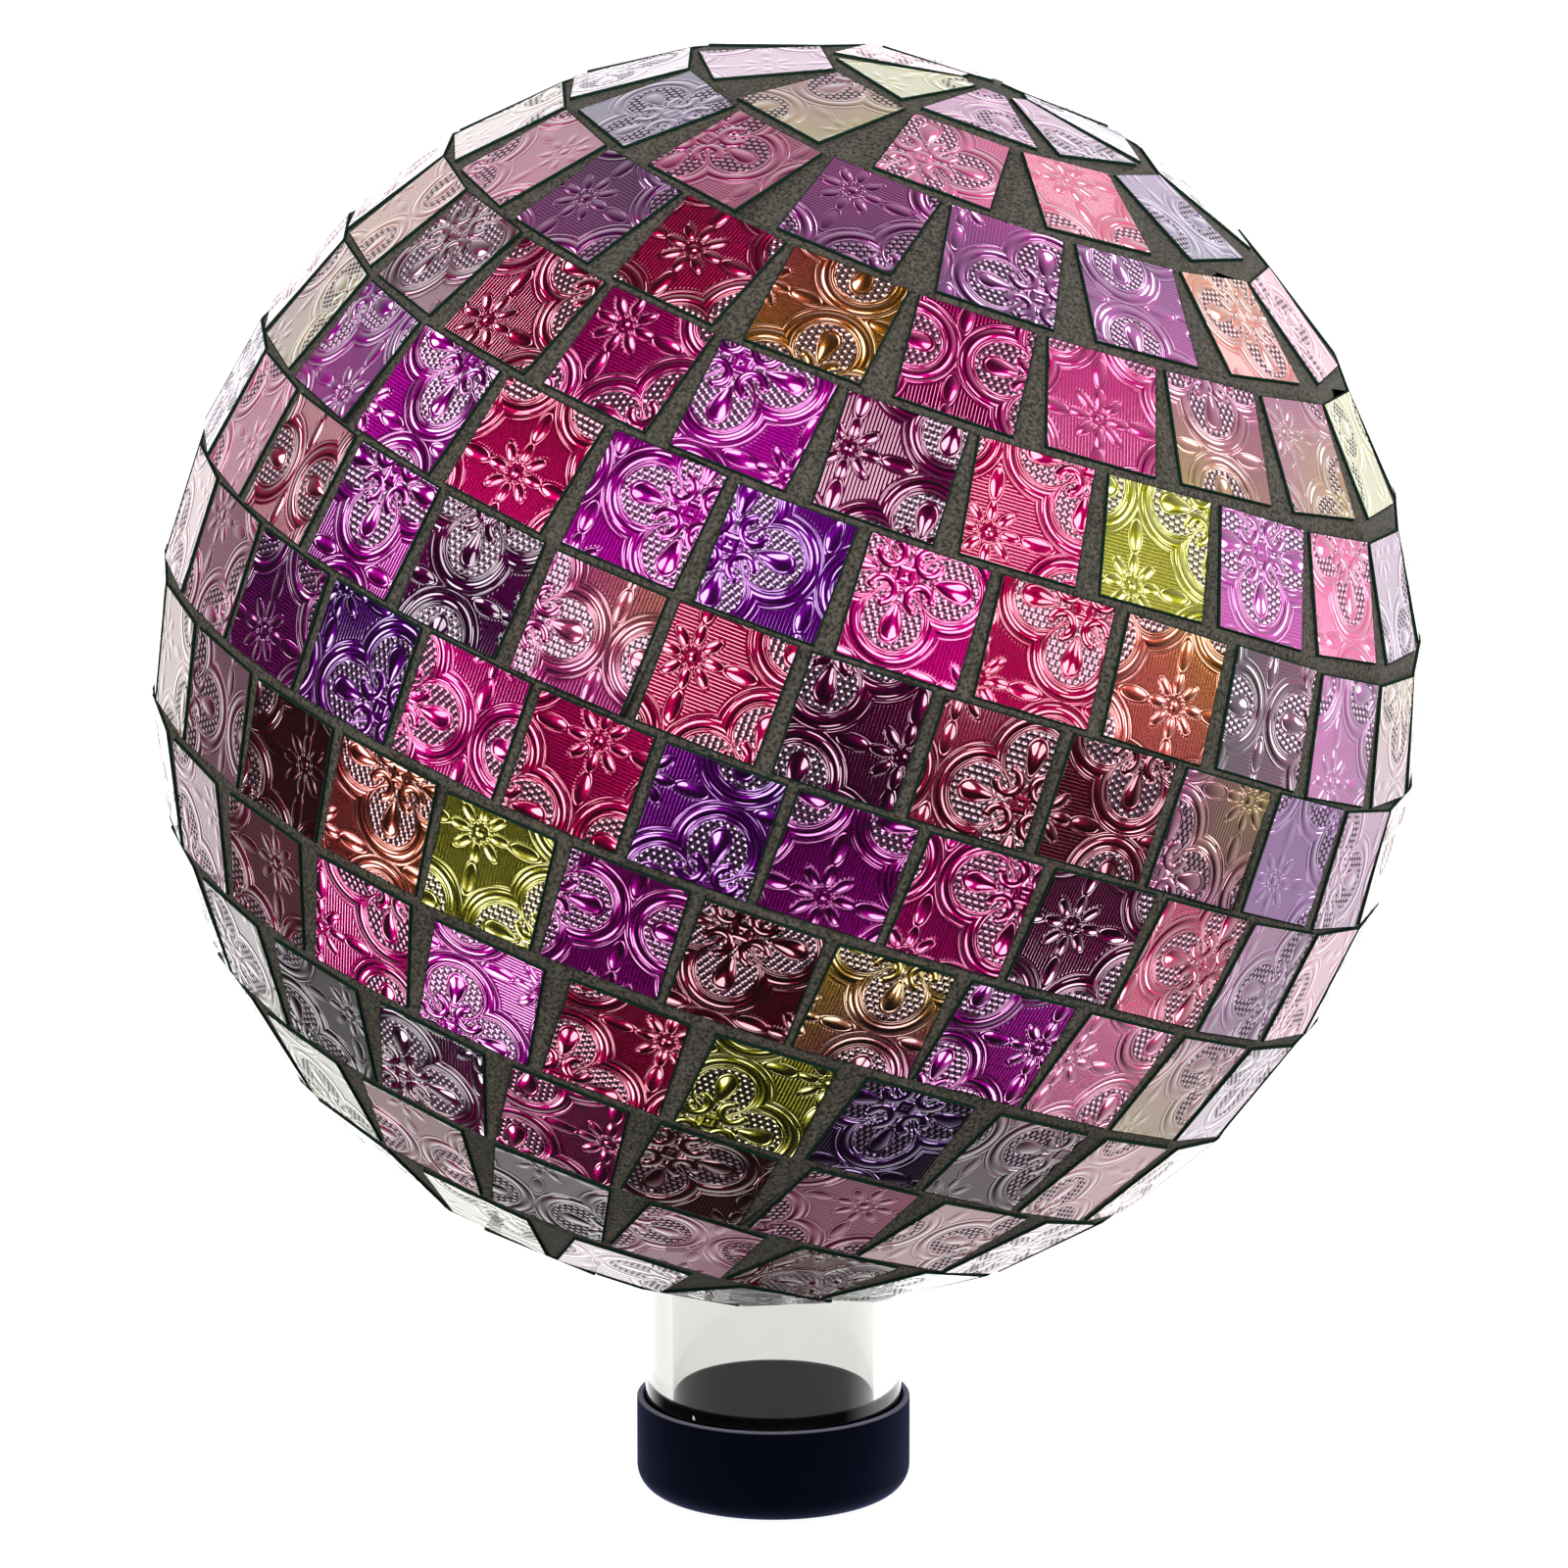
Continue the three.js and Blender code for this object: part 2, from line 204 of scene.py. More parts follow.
@dataclass(frozen=True)
class Ornament:
    """The traditional pattern pressed into the glass: medallions of four round lobes on a square lattice.

    A flower fills the star between four medallions. Lengths are in mm, and the heights of ridges,
    domes, dots and hatching are parts of the depth.
    """

    half_pitch: float = 18.2
    lobe_centre: float = 8.8
    lobe_radius: float = 9.5
    hook_radius: float = 2.35
    dot_pitch: float = 1.45
    dot_height: float = 0.36
    # how much paler each dot's top is painted, a painted highlight
    dot_highlight_paint: float = 0.15
    hatch_pitch: float = 0.72
    hatch_height: float = 0.05
    depth: float = 0.4

    def steps(self) -> list[tuple]:
        """Writes the pressed height out as steps of arithmetic.

        Returns:
            One tuple for each step: its name, its operation, and its inputs, which are numbers or
            the names of earlier steps. The first names are x and y, the place in the pattern.
        """
        half = self.half_pitch
        wave = 4 * math.pi / (self.dot_pitch * math.sqrt(3))
        steps = [
            # the place as seen from the nearest medallion's middle
            ("mx", "WRAP", "x", half, -half),
            ("my", "WRAP", "y", half, -half),
            *self.folded("m", "mx", "my"),
            ("out", "SUBTRACT", "m_high", self.lobe_centre),
            *self.length("lobe", "out", "m_low"),
            ("border", "SUBTRACT", "lobe", self.lobe_radius),
            # the broad round band and the thin lines on its two sides
            *self.ridge("band", "border", -1.75, 0.95, 0.45),
            *self.ridge("outer_line", "border", 0.0, 0.32, 0.22),
            *self.ridge("inner_line", "border", -3.25, 0.32, 0.22),
            *self.ridge("middle_line", "border", -2.78, 0.20, 0.06),
            # the almond bosses on the lobes' axes, blunt outwards and pointed inwards
            self.measured("boss_out", "m_high", 9.3, 3.3),
            ("boss_taper", "MULTIPLY_ADD", "boss_out", 0.62, 1.62),
            ("boss_side", "DIVIDE", "m_low", "boss_taper"),
            *self.length("boss_edge", "boss_out", "boss_side"),
            *self.dome("boss", "boss_edge", 0.62),
            *self.ridge("boss_line", "boss_edge", 1.12, 0.13, 0.12),
            # the hooks on the diagonals, open outwards and ending in knobs
            ("hook_out", "SUBTRACT", "m_along", 5.2),
            *self.length("hook_round", "hook_out", "m_aside"),
            *self.ridge("hook_tube", "hook_round", self.hook_radius, 1.0, 0.55),
            ("hook_gap", "MULTIPLY_ADD", "hook_round", 0.5, 0.15),
            ("hook_room", "SUBTRACT", "hook_gap", "hook_out"),
            ("hook_kept", "MULTIPLY", "hook_room", 4.0, "clamp"),
            ("hook", "MULTIPLY", "hook_tube", "hook_kept"),
            ("knob_out", "SUBTRACT", "m_along", 6.5),
            ("knob_side", "SUBTRACT", "m_aside", 2.1),
            *self.length("knob_reach", "knob_out", "knob_side"),
            *self.dome("knob", "knob_reach", 0.5),
            # the ring and pearl at the medallion's middle
            *self.length("middle", "mx", "my"),
            *self.ridge("ring", "middle", 1.65, 0.42, 0.30),
            *self.dome("pearl", "middle", 0.40),
            # the flower between the medallions
            ("fx_in", "ADD", "x", half),
            ("fy_in", "ADD", "y", half),
            ("fx", "WRAP", "fx_in", half, -half),
            ("fy", "WRAP", "fy_in", half, -half),
            *self.folded("f", "fx", "fy"),
            *self.length("heart", "fx", "fy"),
            *self.oval("petal", ("f_high", "f_low"), 4.4, 2.0, 0.98),
            *self.oval("slant", ("f_along", "f_aside"), 4.4, 2.0, 0.98),
            *self.oval("leaf", ("f_high", "f_low"), 10.0, 3.2, 1.35),
            ("inner_edge", "MINIMUM", "petal_edge", "slant_edge"),
            ("flower_edge", "MINIMUM", "inner_edge", "leaf_edge"),
            *self.dome("flower", "flower_edge", 0.34),
            *self.ridge("flower_line", "flower_edge", 1.08, 0.16, 0.12),
            *self.dome("heart_pearl", "heart", 0.36),
            ("bead_x", "SUBTRACT", "f_high", 1.95),
            ("bead_y", "SUBTRACT", "f_low", 0.81),
            *self.length("bead_reach", "bead_x", "bead_y"),
            ("bead_edge", "MULTIPLY", "bead_reach", 1 / 0.48),
            *self.dome("bead", "bead_edge", 0.26),
            # the dots that fill the lobes, in rows at 60 degrees: the three waves add up to -1.5 in
            # the grooves between dots and to 3 on a dot's top, and their level runs from 0 to 1
            ("dot_a", "MULTIPLY", "x", wave),
            ("dot_b", "MULTIPLY", "x", -wave / 2),
            ("dot_up", "MULTIPLY", "y", wave * math.sqrt(0.75)),
            ("dot_c", "ADD", "dot_b", "dot_up"),
            ("dot_d", "SUBTRACT", "dot_b", "dot_up"),
            ("dot_1", "COSINE", "dot_a"),
            ("dot_2", "COSINE", "dot_c"),
            ("dot_3", "COSINE", "dot_d"),
            ("dot_12", "ADD", "dot_1", "dot_2"),
            ("dot_sum", "ADD", "dot_12", "dot_3"),
            ("dot_level", "MULTIPLY_ADD", "dot_sum", 1 / 4.5, 1 / 3, "clamp"),
            ("dot_high", "SQRT", "dot_level"),
            ("dot_low", "SUBTRACT", 1.0, "dot_high"),
            ("dot_gap", "MULTIPLY", "dot_low", "dot_low"),
            # the dots stop short of everything else that is raised in the medallion
            self.beyond("clear_of_line", "border", -10.6 / 3, -3.0),
            self.beyond("clear_of_boss", "boss_edge", 1.2, 6.0),
            ("hook_off", "SUBTRACT", "hook_round", self.hook_radius),
            ("hook_away", "ABSOLUTE", "hook_off"),
            ("hook_shut", "SUBTRACT", 1.0, "hook_kept"),
            ("hook_far", "ADD", "hook_away", "hook_shut"),
            self.beyond("clear_of_hook", "hook_far", 0.95, 4.0),
            self.beyond("clear_of_knob", "knob_reach", 0.95, 4.0),
            self.beyond("clear_of_ring", "middle", 2.6, 2.0),
            ("field_1", "MULTIPLY", "clear_of_line", "clear_of_boss"),
            ("field_2", "MULTIPLY", "field_1", "clear_of_hook"),
            ("field_3", "MULTIPLY", "field_2", "clear_of_knob"),
            ("field", "MULTIPLY", "field_3", "clear_of_ring"),
            ("dots_part", "MULTIPLY", "field", "dot_high"),
            ("dots", "MULTIPLY", "dots_part", self.dot_height),
            # painted shade: the grooves between dots are darkened towards near black and lose their coat
            ("groove_shade_part", "MULTIPLY", "field", "dot_gap"),
            ("groove_shade", "MULTIPLY", "groove_shade_part", 2.0, "clamp"),
            # painted highlight: each dot's colour is made paler towards its top
            ("lens", "MULTIPLY", "dots_part", self.dot_highlight_paint),
            # the fine ruled ground of the stars
            ("rule_turn", "MULTIPLY", "y", 2 * math.pi / self.hatch_pitch),
            ("rule_wave", "SINE", "rule_turn"),
            self.beyond("clear_of_outer", "border", 0.5, 2.0),
            self.beyond("clear_of_flower", "flower_edge", 1.25, 4.0),
            self.beyond("clear_of_heart", "heart", 2.7, 2.0),
            ("rules_1", "MULTIPLY", "rule_wave", "clear_of_outer"),
            ("rules_2", "MULTIPLY", "rules_1", "clear_of_flower"),
            ("rules_3", "MULTIPLY", "rules_2", "clear_of_heart"),
            ("rules", "MULTIPLY", "rules_3", self.hatch_height),
        ]
        raised = (
            "band", "outer_line", "inner_line", "middle_line", "boss", "boss_line", "hook", "knob", "ring",
            "pearl", "flower", "flower_line", "heart_pearl", "bead", "dots",
        )
        # the band and the dots add to what they stand on, and of all else the higher one counts
        total = "rules"
        for name in raised:
            operation = "ADD" if name in ("dots", "band") else "MAXIMUM"
            steps.append((f"with_{name}", operation, total, name))
            total = f"with_{name}"
        steps.append(("height", "MULTIPLY", total, self.depth))
        return steps

    def folded(self, name: str, across: str, up: str) -> list[tuple]:
        """Folds a place onto one eighth of the turn round a middle.

        Args:
            name: What the steps' names start with.
            across: The step with the place across.
            up: The step with the place up.

        Returns:
            Steps for the higher and lower coordinate, and for the place along and aside the diagonal.
        """
        diagonal = math.sqrt(0.5)
        return [
            (f"{name}_x", "ABSOLUTE", across),
            (f"{name}_y", "ABSOLUTE", up),
            (f"{name}_high", "MAXIMUM", f"{name}_x", f"{name}_y"),
            (f"{name}_low", "MINIMUM", f"{name}_x", f"{name}_y"),
            (f"{name}_sum", "ADD", f"{name}_x", f"{name}_y"),
            (f"{name}_along", "MULTIPLY", f"{name}_sum", diagonal),
            (f"{name}_gap", "SUBTRACT", f"{name}_high", f"{name}_low"),
            (f"{name}_aside", "MULTIPLY", f"{name}_gap", diagonal),
        ]

    def length(self, name: str, first: str, second: str) -> list[tuple]:
        """Returns the steps for the length of a line whose two legs are named steps."""
        return [
            (f"{name}_a", "MULTIPLY", first, first),
            (f"{name}_b", "MULTIPLY_ADD", second, second, f"{name}_a"),
            (name, "SQRT", f"{name}_b"),
        ]

    def measured(self, name: str, source: str, start: float, unit: float) -> tuple:
        """Returns the step that measures another one from a start, in units of a length."""
        return name, "MULTIPLY_ADD", source, 1 / unit, -start / unit

    def beyond(self, name: str, source: str, start: float, slope: float) -> tuple:
        """Returns the step that is 0 up to a start and goes to 1 on the side that the slope points to."""
        return name, "MULTIPLY_ADD", source, slope, -start * slope, "clamp"

    def oval(
        self, name: str, axes: tuple[str, str], middle: float, half_length: float, half_width: float
    ) -> list[tuple]:
        """Measures how far out a place lies in an oval: 0 at its middle and 1 on its line.

        Args:
            name: What the steps' names start with. The last one is this name with _edge.
            axes: The steps with the place along the oval and aside from it.
            middle: How far along the oval's middle lies.
            half_length: Its half length.
            half_width: Its half width.

        Returns:
            The steps.
        """
        along, aside = axes
        return [
            self.measured(f"{name}_out", along, middle, half_length),
            (f"{name}_side", "MULTIPLY", aside, 1 / half_width),
            *self.length(f"{name}_edge", f"{name}_out", f"{name}_side"),
        ]

    def ridge(self, name: str, distance: str, at: float, half_width: float, height: float) -> list[tuple]:
        """Raises a rounded ridge where a distance has a value.

        Args:
            name: The ridge's name.
            distance: The step with the distance.
            at: The distance at its crest.
            half_width: Its half width.
            height: Its height.

        Returns:
            The steps.
        """
        return [
            self.measured(f"{name}_off", distance, at, half_width),
            (f"{name}_drop", "MULTIPLY", f"{name}_off", f"{name}_off"),
            (f"{name}_part", "SUBTRACT", 1.0, f"{name}_drop", "clamp"),
            (name, "MULTIPLY", f"{name}_part", height),
        ]

    def dome(self, name: str, edge: str, height: float) -> list[tuple]:
        """Raises a dome inside the line where a step has the value of 1.

        Args:
            name: The dome's name.
            edge: The step that is 0 at the dome's middle and 1 at its foot.
            height: Its height.

        Returns:
            The steps.
        """
        return [
            (f"{name}_drop", "MULTIPLY", edge, edge),
            (f"{name}_part", "SUBTRACT", 1.0, f"{name}_drop", "clamp"),
            (name, "MULTIPLY", f"{name}_part", height),
        ]

    def group(self) -> bpy.types.NodeTree:
        """Builds the steps as a node group that all the foils share.

        Returns:
            The group. It takes the place in the pattern and gives the pressed height, both in mm,
            the painted shade of the grooves between dots, from 0 to 1, and the painted highlight
            that makes each dot paler.
        """
        group = bpy.data.node_groups.new("pressed_ornament", "ShaderNodeTree")
        group.interface.new_socket("Place", in_out="INPUT", socket_type="NodeSocketVector")
        for output in ("Height", "Groove_Shade", "Dot_Highlight"):
            group.interface.new_socket(output, in_out="OUTPUT", socket_type="NodeSocketFloat")
        place = add_node(group, "NodeGroupInput").outputs[0]
        split = add_node(group, "ShaderNodeSeparateXYZ", {0: place})
        sockets = {"x": split.outputs[0], "y": split.outputs[1]}
        for name, operation, *terms in self.steps():
            clamp = terms[-1] == "clamp"
            terms = terms[:-1] if clamp else terms
            inputs = {k: sockets.get(term, term) for k, term in enumerate(terms)}
            sockets[name] = add_node(
                group, "ShaderNodeMath", inputs, operation=operation, use_clamp=clamp,
            ).outputs[0]
        add_node(group, "NodeGroupOutput", {0: sockets["height"], 1: sockets["groove_shade"], 2: sockets["lens"]})
        return group


@dataclass(frozen=True)
class FoiledGlass:
    """Clear glass pressed with a pattern while hot, with mirror foil laid on its back.

    The foil is the metal below and gives the deep colour, which goes softer at a glancing view. The
    fire-polished glass over it is the coat, whose relief breaks the soft boxes up into crisp white
    highlights. The narrow grooves between dots get painted shade: their colour is mixed towards
    near black and their coat is taken away. Each dot gets a painted highlight, its colour mixed a
    little towards pale pink. The tiles were scored and snapped, so their cut edges are matt and
    dark green.
    """

    foil: Foil
    ornament: bpy.types.NodeTree
    # the near-black colour of the painted shade in the grooves between dots
    groove_shade: str = "12060f"
    # the pale colour of the painted highlight on each dot
    lens: str = "d8c4d6"
    cut_edge: str = "12241c"
    edge_roughness: float = 0.75
    facing_roughness: float = 0.22
    glancing_roughness: float = 0.5

    def material(self) -> bpy.types.Material:
        """Builds the material.

        Returns:
            The foiled glass. It reads three attributes that the tiles carry: pattern is the place
            in the ornament, tint how far the foil's colour has run, and front is 1 on a tile's face
            and 0 on its cut edges.
        """
        glass = new_material(f"foiled_glass_{self.foil.name}")
        tree = glass.node_tree
        tint = add_node(tree, "ShaderNodeAttribute", attribute_name="tint").outputs["Fac"]
        place = add_node(tree, "ShaderNodeAttribute", attribute_name="pattern").outputs["Vector"]
        front = add_node(tree, "ShaderNodeAttribute", attribute_name="front").outputs["Fac"]
        pressed = add_node(tree, "ShaderNodeGroup", node_tree=self.ornament)
        tree.links.new(place, pressed.inputs[0])
        colour = linear(self.foil.near)
        # the foil's colour runs to its far colour, then gets painted shade in the grooves and a painted
        # highlight on the dots
        for factor, hex_colour in (
            (tint, self.foil.far),
            (pressed.outputs["Groove_Shade"], self.groove_shade),
            (pressed.outputs["Dot_Highlight"], self.lens),
        ):
            colour = add_node(
                tree, "ShaderNodeMix", {"Factor": factor, 6: colour, 7: linear(hex_colour)}, data_type="RGBA",
            ).outputs[2]
        colour = add_node(
            tree, "ShaderNodeMix", {"Factor": front, 6: linear(self.cut_edge), 7: colour}, data_type="RGBA",
        ).outputs[2]
        bump = add_node(
            tree, "ShaderNodeBump", {"Strength": front, "Distance": MM, "Height": pressed.outputs["Height"]},
        ).outputs["Normal"]
        facing = add_node(tree, "ShaderNodeLayerWeight", {"Blend": 0.5}).outputs["Facing"]
        polish = add_node(
            tree, "ShaderNodeMapRange",
            {
                "Value": facing, "From Min": 0.35, "From Max": 0.8,
                "To Min": self.facing_roughness, "To Max": self.glancing_roughness,
            },
        ).outputs[0]
        gloss = add_node(tree, "ShaderNodeMix", {0: front, 2: self.edge_roughness, 3: polish}).outputs[0]
        # the coat is taken away where the grooves get their painted shade
        shine = add_node(
            tree, "ShaderNodeMath", {0: front, 1: pressed.outputs["Groove_Shade"]},
            operation="SUBTRACT", use_clamp=True,
        ).outputs[0]
        shader = add_node(
            tree, "ShaderNodeBsdfPrincipled",
            {
                "Base Color": colour, "Metallic": 1.0, "Roughness": gloss, "Normal": bump,
                "Specular Tint": (0.4, 0.4, 0.4, 1.0),
                "Coat Weight": shine, "Coat Roughness": 0.03, "Coat IOR": 1.58, "Coat Normal": bump,
            },
        )
        add_node(tree, "ShaderNodeOutputMaterial", {"Surface": shader.outputs[0]})
        return glass


@dataclass(frozen=True)
class Tile:
    """One tile: its place on the ball, and what it was cut from.

    The corners run round the outward normal, the longest side first. The foil is a number in FOILS.
    The crop, in mm, and the quarter turns say where in the pattern the tile was cut. The tint says
    how its foil's colour runs across it: the angle, the value at the middle and the spread.
    """

    corners: np.ndarray
    normal: np.ndarray
    foil: int
    crop: tuple[float, float]
    turns: int
    tint: tuple[float, float, float]


@dataclass
class MosaicSkin:
    """The tiles and their grout, laid where the frame's own skin has its raised faces."""

    node: bpy.types.Object
    side: float = 24.6 * MM
    thickness: float = 2.8 * MM
    edge_round: float = 0.35 * MM
    crease: float = 28.0
    tint_middles: tuple[float, float] = (-0.3, 1.3)
    tint_spreads: tuple[float, float] = (0.2, 1.0)
    seed: int = 11
    ornament: Ornament = field(default_factory=Ornament)

    def merged_copy(self) -> bpy.types.Object:
        """Copies the frame's skin, free of the frame's marks and with its loose triangles joined up.

        Returns:
            The copy.
        """
        copy = self.node.copy()
        copy.data = self.node.data.copy()
        bpy.context.scene.collection.objects.link(copy)
        copy.parent = None
        for key in list(copy.keys()):
            if key.startswith("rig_"):
                del copy[key]
        begin(copy)
        bpy.ops.object.mode_set(mode="EDIT")
        bpy.ops.mesh.select_all(action="SELECT")
        bpy.ops.mesh.remove_doubles(threshold=0.001 * MM)
        bpy.ops.object.mode_set(mode="OBJECT")
        return copy

    def raised_faces(self, mesh: bpy.types.Mesh) -> list[list[int]]:
        """Finds the flat face of each tile.

        Args:
            mesh: The merged skin.

        Returns:
            For each tile the numbers of the triangles in its face.
        """
        groups: list[tuple[Vector, list[int]]] = []
        for face in mesh.polygons:
            if abs(face.normal.dot(face.center - GLOBE_CENTRE) - TILE_PLANE) > 0.002 * MM:
                continue
            for normal, members in groups:
                if normal.dot(face.normal) > 0.99999:
                    members.append(face.index)
                    break
            else:
                groups.append((face.normal.copy(), [face.index]))
        return [members for _, members in groups]

    def place(self, mesh: bpy.types.Mesh, members: list[int]) -> tuple[np.ndarray, np.ndarray]:
        """Works out where one tile lies.

        Args:
            mesh: The merged skin.
            members: The triangles of the tile's face.

        Returns:
            Its corners in order round its normal, the longest side first, and the normal.
        """
        normal = np.array(mesh.polygons[members[0]].normal)
        own = {vertex for member in members for vertex in mesh.polygons[member].vertices}
        points = np.array([mesh.vertices[vertex].co for vertex in own])
        middle = points.mean(0)
        side = points[0] - middle
        side /= np.linalg.norm(side)
        up = np.cross(normal, side)
        turn = np.arctan2((points - middle) @ up, (points - middle) @ side)
        corners = points[np.argsort(turn)]
        lengths = np.linalg.norm(np.roll(corners, -1, axis=0) - corners, axis=1)
        return np.roll(corners, -int(np.argmax(lengths)), axis=0), normal

    def rank(self, place: tuple[np.ndarray, np.ndarray]) -> tuple[float, float]:
        """Returns what places are sorted by: from the top down, and from left to right."""
        middle = place[0].mean(0)
        return -round(float(middle[2]), 5), round(float(middle[0]), 5)

    def lay_tiles(self, mesh: bpy.types.Mesh, faces: list[list[int]]) -> list[Tile]:
        """Works out every tile's place, and draws its foil, its crop and its tint.

        Args:
            mesh: The merged skin.
            faces: The triangles of each tile's face.

        Returns:
            The tiles from the top of the globe down.
        """
        places = sorted((self.place(mesh, members) for members in faces), key=self.rank)
        draw = np.random.default_rng(self.seed)
        shares = np.array([foil.share for foil in FOILS])
        return [
            Tile(
                corners,
                normal,
                foil=int(draw.choice(len(FOILS), p=shares / shares.sum())),
                crop=tuple(draw.uniform(0, 2 * self.ornament.half_pitch, 2)),
                turns=int(draw.integers(4)),
                tint=(
                    draw.uniform(0, 2 * math.pi),
                    draw.uniform(*self.tint_middles),
                    draw.uniform(*self.tint_spreads),
                ),
            )
            for corners, normal in places
        ]

    def blank(self) -> bpy.types.Object:
        """Models one plain tile, with its front at height 0 and all but its back edges softened.

        Returns:
            The blank, one full tile wide.
        """
        begin()
        bpy.ops.mesh.primitive_cube_add(size=1, location=(0, 0, -self.thickness / 2))
        blank = bpy.context.object
        blank.scale = (self.side, self.side, self.thickness)
        bpy.ops.object.transform_apply(location=True, scale=True)
        bpy.ops.object.mode_set(mode="EDIT")
        bpy.ops.mesh.select_mode(type="EDGE")
        bpy.ops.mesh.select_all(action="DESELECT")
        shape = bmesh.from_edit_mesh(blank.data)
        for edge in shape.edges:
            edge.select = max(vertex.co.z for vertex in edge.verts) > -self.thickness / 2
        bmesh.update_edit_mesh(blank.data)
        bpy.ops.mesh.bevel(offset=self.edge_round, segments=2, affect="EDGES")
        bpy.ops.object.mode_set(mode="OBJECT")
        bpy.ops.object.shade_flat()
        return blank

    def fit(self, tile: Tile, shape: np.ndarray) -> tuple[np.ndarray, dict[str, np.ndarray]]:
        """Fits the blank's vertices to one tile.

        Args:
            tile: The tile.
            shape: The blank's vertices.

        Returns:
            The vertices in place, and the attributes that the material reads.
        """
        u, v = shape[:, 0] / self.side + 0.5, shape[:, 1] / self.side + 0.5
        weights = np.stack([(1 - u) * (1 - v), u * (1 - v), u * v, (1 - u) * v], 1)
        flat = weights @ tile.corners
        middle = tile.corners.mean(0)
        along = tile.corners[1] - tile.corners[0]
        along /= np.linalg.norm(along)
        up = np.cross(tile.normal, along)
        local = np.stack([(flat - middle) @ along, (flat - middle) @ up], 1) / MM
        for _ in range(tile.turns):
            local = np.stack([-local[:, 1], local[:, 0]], 1)
        points = flat + shape[:, 2:3] * tile.normal
        angle, centre, spread = tile.tint
        half_side = self.side / 2 / MM
        ramp = (local[:, 0] * math.cos(angle) + local[:, 1] * math.sin(angle)) / half_side
        attributes = {
            "tint": (centre + spread * ramp).clip(0, 1),
            "pattern": np.stack([local[:, 0] + tile.crop[0], local[:, 1] + tile.crop[1], 0 * ramp], 1),
        }
        return points, attributes

    def sheet(
        self, foil: int, tiles: list[Tile], blank: bpy.types.Object, ornament: bpy.types.NodeTree
    ) -> bpy.types.Object:
        """Cuts all the tiles of one foiled sheet as one piece.

        Args:
            foil: The sheet's number.
            tiles: All the tiles.
            blank: The plain tile.
            ornament: The node group with the pressed pattern.

        Returns:
            The piece.
        """
        source = blank.data
        shape = np.array([v.co for v in source.vertices])
        corner_of = np.array([loop.vertex_index for loop in source.loops])
        starts = np.array([face.loop_start for face in source.polygons])
        own = [tile for tile in tiles if tile.foil == foil]
        fitted = [self.fit(tile, shape) for tile in own]
        mesh = bpy.data.meshes.new(FOILS[foil].name)
        mesh.vertices.add(len(own) * len(shape))
        mesh.vertices.foreach_set("co", np.concatenate([points for points, _ in fitted]).ravel())
        mesh.loops.add(len(own) * len(corner_of))
        offsets = np.arange(len(own))[:, None]
        mesh.loops.foreach_set("vertex_index", (corner_of[None] + offsets * len(shape)).ravel())
        mesh.polygons.add(len(own) * len(starts))
        mesh.polygons.foreach_set("loop_start", (starts[None] + offsets * len(corner_of)).ravel())
        mesh.update(calc_edges=True)
        mesh.polygons.foreach_set("use_smooth", np.zeros(len(own) * len(starts), dtype=bool))
        front = mesh.attributes.new("front", "FLOAT", "FACE")
        front.data.foreach_set("value", np.tile([face.normal.z > 0.99 for face in source.polygons], len(own)))
        for key, sample in fitted[0][1].items():
            kind = "FLOAT" if sample.ndim == 1 else "FLOAT_VECTOR"
            attribute = mesh.attributes.new(key, kind, "POINT")
            values = np.concatenate([attributes[key] for _, attributes in fitted]).astype(np.float32)
            attribute.data.foreach_set("value" if kind == "FLOAT" else "vector", values.ravel())
        mesh.validate()
        piece = bpy.data.objects.new(FOILS[foil].name, mesh)
        bpy.context.scene.collection.objects.link(piece)
        material = FoiledGlass(FOILS[foil], ornament).material()
        return settle(piece, f"tiles_{FOILS[foil].name}", material)

    def grout_material(self) -> bpy.types.Material:
        """Makes sanded cement grout, pressed into the joints and washed off with a sponge.

        The wash leaves it matt and grainy, nearly black with paler sand and in cloudy patches.

        Returns:
            The grout's material.
        """
        # sand of 0.3 mm would be too fine to show, so its grain is drawn 0.7 mm wide
        grain_width = 0.7 * MM
        cloud_width = 18 * MM
        grout = new_material("sanded_cement_grout")
        tree = grout.node_tree
        place = add_node(tree, "ShaderNodeTexCoord").outputs["Object"]
        grain = add_node(
            tree, "ShaderNodeTexNoise",
            {"Vector": place, "Scale": 1 / grain_width, "Detail": 3.0, "Roughness": 0.6},
        ).outputs["Fac"]
        cloud = add_node(
            tree, "ShaderNodeTexNoise", {"Vector": place, "Scale": 1 / cloud_width, "Detail": 2.0},
        ).outputs["Fac"]
        sand = add_node(
            tree, "ShaderNodeMapRange", {"Value": grain, "From Min": 0.38, "From Max": 0.62},
        ).outputs[0]
        mixed = add_node(tree, "ShaderNodeMix", {0: 0.25, 2: sand, 3: cloud}).outputs[0]
        colour = add_node(
            tree, "ShaderNodeMix",
            {"Factor": mixed, 6: linear("0a0907"), 7: linear("3d3a33")}, data_type="RGBA",
        ).outputs[2]
        bump = add_node(
            tree, "ShaderNodeBump", {"Strength": 0.7, "Distance": 0.25 * MM, "Height": grain},
        ).outputs["Normal"]
        shader = add_node(
            tree, "ShaderNodeBsdfPrincipled",
            {"Base Color": colour, "Roughness": 0.85, "Specular IOR Level": 0.08, "Normal": bump},
        )
        add_node(tree, "ShaderNodeOutputMaterial", {"Surface": shader.outputs[0]})
        return grout

    def grout(self, copy: bpy.types.Object, faces: list[list[int]]) -> bpy.types.Object:
        """Makes the grout out of the skin's copy, with a pocket for each tile.

        Args:
            copy: The merged skin.
            faces: The triangles of each tile's face.

        Returns:
            The grout.
        """
        mesh = copy.data
        for members in faces:
            normal = mesh.polygons[members[0]].normal.copy()
            for vertex in {v for m in members for v in mesh.polygons[m].vertices}:
                mesh.vertices[vertex].co -= normal * self.thickness
        mesh.update()
        begin(copy)
        bpy.ops.object.shade_smooth_by_angle(angle=math.radians(self.crease))
        return settle(copy, "grout", self.grout_material())

